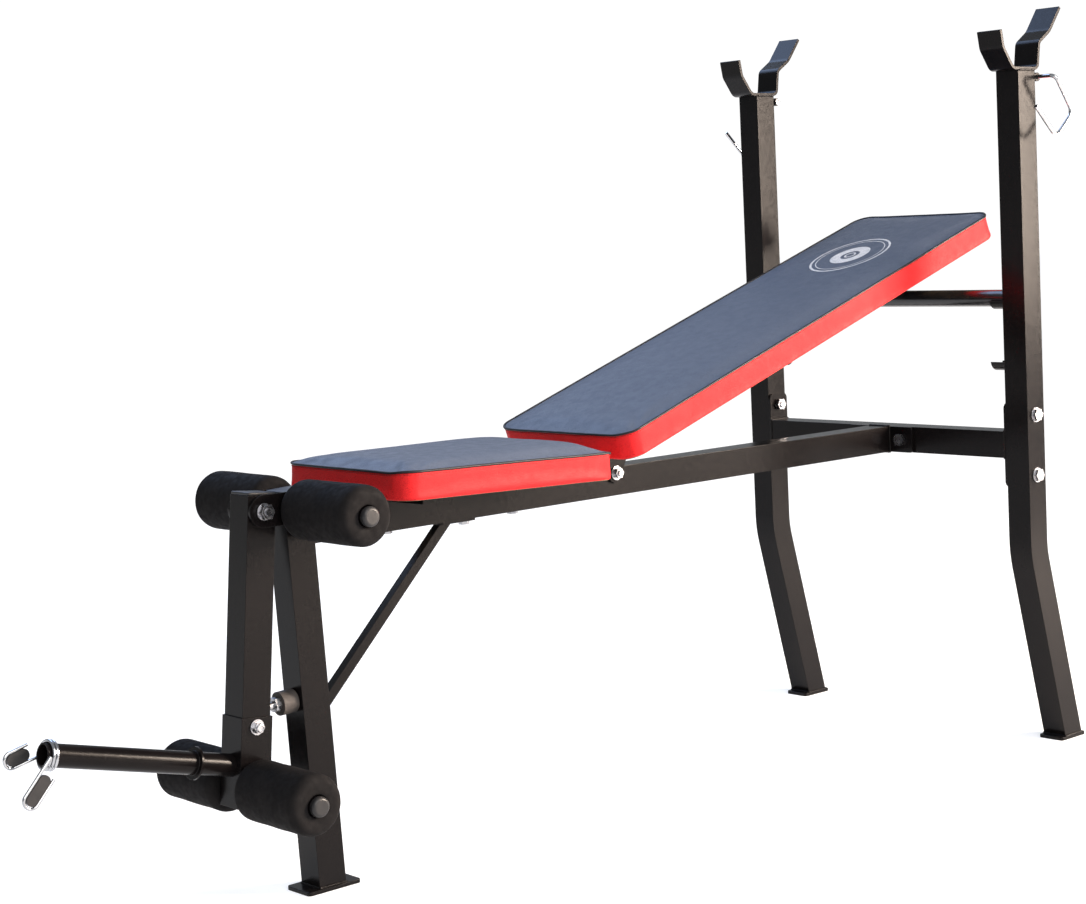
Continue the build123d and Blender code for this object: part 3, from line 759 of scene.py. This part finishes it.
MERGE_WITHIN = 0.00001
HARD_EDGE = math.radians(28)
PLATE_ROUNDING = 0.0007
FASTENER_ROUNDING = 0.0003
FOOT_PLATES = ("rear_feet", "front_foot")
FASTENERS = (
    "frame_bolts", "frame_nuts", "flange_bolts", "pivot_bolt", "pivot_washer", "developer_bolt",
    "developer_nut", "bumper_nut", "hinge_bolt", "hinge_washers", "hinge_nut", "under_bolts", "back_screws",
)


def soften(name, width):
    """Joins the facets and rounds the hard edges of a CAD piece by modifiers only."""
    piece = nodes[name]
    weld = piece.modifiers.new("join", "WELD")
    weld.merge_threshold = MERGE_WITHIN
    bevel = piece.modifiers.new("round", "BEVEL")
    bevel.width = width
    bevel.segments = 2
    bevel.limit_method = "ANGLE"
    bevel.angle_limit = HARD_EDGE
    bevel.use_clamp_overlap = True
    bevel.harden_normals = True


for name in FOOT_PLATES:
    soften(name, PLATE_ROUNDING)
for name in FASTENERS:
    soften(name, FASTENER_ROUNDING)


# ---------------------------------------------------------------- weld beads

BEAD_STEP = 0.0021
BEAD_RADIUS = 0.0017
STEPS_A_RIPPLE = 4
CIRCLE_STEPS = 36
TUBE_EDGE = 20.3
RACK_X = 262
FOOT_BEAD_Z = 5.3


def bead_line(corners, closed, radius=BEAD_RADIUS):
    """Points and faces of a rippled weld bead through the given corners."""
    path = []
    ends = corners + ([corners[0]] if closed else [])
    for a, b in zip(ends, ends[1:]):
        count = max(2, round((b - a).length / (BEAD_STEP / STEPS_A_RIPPLE)))
        path.extend(a.lerp(b, i / count) for i in range(count))
    if not closed:
        path.append(ends[-1])
    radii = []
    for i, p in enumerate(path):
        ripple = abs(math.sin(math.pi * i / STEPS_A_RIPPLE))
        uneven = noise.noise(p * 260) * 0.18
        radii.append(radius * (0.82 + 0.2 * ripple + uneven))
    return swept(path, radii, 8, closed)


def rectangle(centre, x, y):
    return [centre + Vector(c) for c in ((-x, -y, 0), (x, -y, 0), (x, y, 0), (-x, y, 0))]


def circle(centre, radius, normal):
    side = normal.orthogonal().normalized()
    other = normal.cross(side).normalized()
    turns = [2 * math.pi * i / CIRCLE_STEPS for i in range(CIRCLE_STEPS)]
    return [centre + (side * math.cos(turn) + other * math.sin(turn)) * radius for turn in turns]


frame_beads = []
for sign in (-1, 1):
    frame_beads.append(bead_line(rectangle(at(sign * RACK_X, 1196.2, FOOT_BEAD_Z), 0.0203, 0.0208), True))
    crossbar_end = ((1103, 436.8), (1143.2, 436.8), (1143.2, 477.2), (1102.8, 477.2))
    frame_beads.append(bead_line([at(sign * 237.6, y, z) for y, z in crossbar_end], True))
    for edge in (-20.4, 20.4):
        cradle_side = [at(sign * RACK_X + edge, y, 1010.2) for y in (1105, 1141)]
        frame_beads.append(bead_line(cradle_side, False))
frame_beads.append(bead_line(rectangle(at(0, -0.2, FOOT_BEAD_Z), 0.0203, 0.0203), True))
flange = ((-TUBE_EDGE, 436.7), (TUBE_EDGE, 436.7), (TUBE_EDGE, 477.3), (-TUBE_EDGE, 477.3))
frame_beads.append(bead_line([at(x, 1097.6, z) for x, z in flange], True))
points, faces = gather(frame_beads)
made("frame_welds", from_points("frame_welds", points, faces), "frame", "frame_paint", looks["frame_paint"])


# ---------------------------------------------------------------- washers and lock nut collars

OUT_X = Vector((1, 0, 0))
RACK_OUTER_X = 282.02
RACK_Y = 1123
RACK_BOLT_HEIGHTS = (412, 502)


def washer(base, axis, inner, outer, thick):
    edge = 0.0002
    profile = [(0, inner), (0, outer - edge), (edge, outer)]
    profile += [(thick - edge, outer), (thick, outer - edge), (thick, inner)]
    return turned(profile, base, axis)


def lock_ring(base, axis, inner, outer, height):
    """Domed collar of a lock nut, holding its nylon ring."""
    sunk = -0.0005
    profile = [(sunk, inner), (sunk, outer), (height * 0.55, outer)]
    profile += [(height * 0.9, outer - 0.0006), (height, outer - 0.0014), (height, inner)]
    return turned(profile, base, axis)


frame_rings = []
for sign in (1, -1):
    for height in RACK_BOLT_HEIGHTS:
        spot = at(sign * RACK_OUTER_X, RACK_Y, height)
        frame_rings.append(washer(spot, OUT_X * sign, 0.0051, 0.0112, 0.0013))
points, faces = gather(frame_rings)
made("frame_washers", from_points("frame_washers", points, faces, False), "frame", "zinc", looks["zinc"])

low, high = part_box("developer_nut")
middle = (low + high) / 2
points, faces = gather([
    washer(Vector((low.x - 0.0001, middle.y, middle.z)), OUT_X, 0.0041, 0.0098, 0.0012),
    lock_ring(Vector((high.x, middle.y, middle.z)), OUT_X, 0.0040, 0.0056, 0.0022),
])
mesh = from_points("developer_nut_trim", points, faces, False)
made("developer_nut_trim", mesh, "developer", "zinc", looks["zinc"])


# ---------------------------------------------------------------- weld round the stop washer of the horn

HORN_DROP = math.radians(14.1)
HORN_START = at(0, -374, 242.5)
STOP_WASHER_ALONG = 0.2015

horn_way = Vector((0, math.cos(HORN_DROP), -math.sin(HORN_DROP)))
stop_centre = HORN_START + horn_way * STOP_WASHER_ALONG
points, faces = bead_line(circle(stop_centre, 0.0145, horn_way), True, radius=0.0012)
mesh = from_points("developer_welds", points, faces)
made("developer_welds", mesh, "developer", "frame_paint", looks["frame_paint"])


# ---------------------------------------------------------------- floor, lights, background


FLOOR_GLOW = 0.62
AMBIENT = 0.42
BACKDROP = 1.05


def studio_floor():
    """A plain pale floor, big enough to meet the background out of sight."""
    mesh = bpy.data.meshes.new("floor")
    shape = bmesh.new()
    bmesh.ops.create_grid(shape, x_segments=4, y_segments=4, size=30)
    shape.to_mesh(mesh)
    shape.free()
    floor = bpy.data.objects.new("floor", mesh)
    scene.collection.objects.link(floor)
    look = Look("floor", Specular_IOR_Level=0.05, Emission_Color=(1, 1, 1, 1), Emission_Strength=FLOOR_GLOW)
    look.colour(look.shades(look.clouds(1.5, 2), (0.3, (0.50, 0.50, 0.50)), (0.7, (0.52, 0.52, 0.52))))
    look.rough(look.spread(look.clouds(4, 2), 0.3, 0.7, 0.7, 0.8))
    mesh.materials.append(look.material)


def aim(name, lamp, place, target):
    """Hangs a lamp at place, pointing at target."""
    holder = bpy.data.objects.new(name, lamp)
    scene.collection.objects.link(holder)
    holder.location = place
    holder.rotation_euler = (Vector(target) - Vector(place)).to_track_quat("-Z", "Y").to_euler()


def softbox(name, place, target, width, height, watts, colour):
    lamp = bpy.data.lights.new(name, "AREA")
    lamp.shape = "RECTANGLE"
    lamp.size = width
    lamp.size_y = height
    lamp.energy = watts
    lamp.color = colour
    aim(name, lamp, place, target)


def daylight(name, place, spread, strength, colour):
    """Very soft even light from one side."""
    lamp = bpy.data.lights.new(name, "SUN")
    lamp.angle = math.radians(spread)
    lamp.energy = strength
    lamp.color = colour
    aim(name, lamp, place, (0, 0, 0))


studio_floor()
daylight("side", (3.2, -0.4, 2.0), 50, 2.5, (1.0, 0.96, 0.92))
softbox("strip", (2.15, 2.55, 1.2), (0.1, 1.0, 0.85), 1.1, 1.3, 370, (1.0, 0.83, 0.69))
softbox("sky", (-2.3, 0.9, 3.1), (0, 0.9, 0.9), 2.2, 2.2, 75, (0.45, 0.62, 1.0))

world = bpy.data.worlds.new("studio")
scene.world = world
world.use_nodes = True
wires = world.node_tree
wires.nodes.clear()
ambient = wires.nodes.new("ShaderNodeBackground")
ambient.inputs["Color"].default_value = (0.92, 0.96, 1.0, 1)
ambient.inputs["Strength"].default_value = AMBIENT
backdrop = wires.nodes.new("ShaderNodeBackground")
backdrop.inputs["Color"].default_value = (1, 1, 1, 1)
backdrop.inputs["Strength"].default_value = BACKDROP
chooser = wires.nodes.new("ShaderNodeMixShader")
rays = wires.nodes.new("ShaderNodeLightPath")
sky_out = wires.nodes.new("ShaderNodeOutputWorld")
wires.links.new(rays.outputs["Is Camera Ray"], chooser.inputs["Fac"])
wires.links.new(ambient.outputs["Background"], chooser.inputs[1])
wires.links.new(backdrop.outputs["Background"], chooser.inputs[2])
wires.links.new(chooser.outputs["Shader"], sky_out.inputs["Surface"])

scene.view_settings.view_transform = "Standard"
